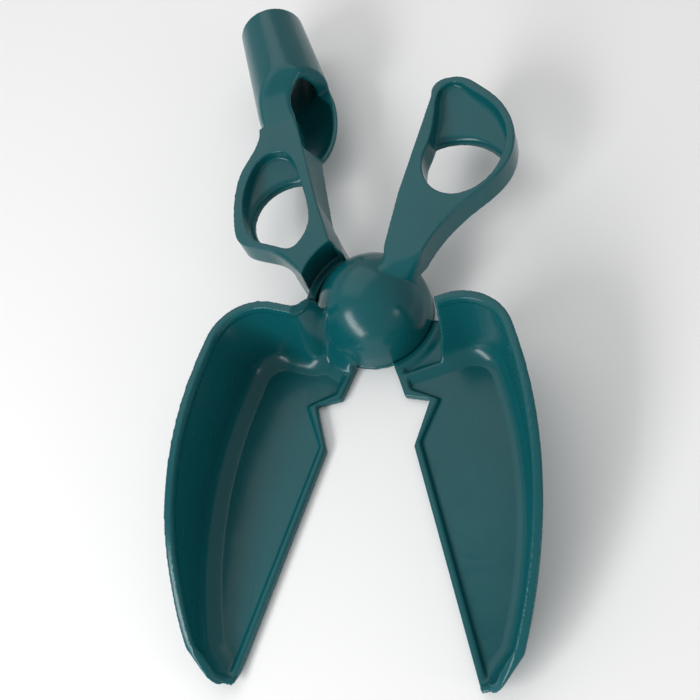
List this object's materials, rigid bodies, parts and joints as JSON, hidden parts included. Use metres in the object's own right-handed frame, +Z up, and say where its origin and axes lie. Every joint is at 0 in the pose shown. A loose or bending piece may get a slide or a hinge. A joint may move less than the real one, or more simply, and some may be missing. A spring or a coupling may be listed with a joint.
{
  "type": "leaf grabber hands",
  "caption": "Scissor-action leaf grabber: two moulded halves cross at a domed pivot, each with a finger-loop handle and a deep leaf scoop; one handle ends in a pole socket.",
  "frame": {"origin": "pivot axis at the level of the scoop floors' underside", "axes": "+Z up along the pivot axis, the scoops point to -Y and the handles to +Y, and the half with the pole socket has its scoop at +X"},
  "size_m": [0.1804, 0.3904, 0.0501],
  "materials": {
    "body_plastic": "glossy dark teal moulded plastic",
    "screw_steel": "zinc plated",
    "washer_steel": "zinc plated",
    "washer_plastic": "natural nylon"
  },
  "bodies": {
    "lower": {"lower_half": "body_plastic", "head_washer": "washer_steel", "thrust_washer": "washer_plastic"},
    "upper": {"upper_half": "body_plastic", "pivot_screw": "screw_steel"}
  },
  "joints": [
    {"name": "pivot", "type": "hinge", "parent": "lower", "child": "upper", "pos_m": [0, 0, 0], "axis": [0, 0, 1], "range_deg": [-8, 33.5]}
  ]
}
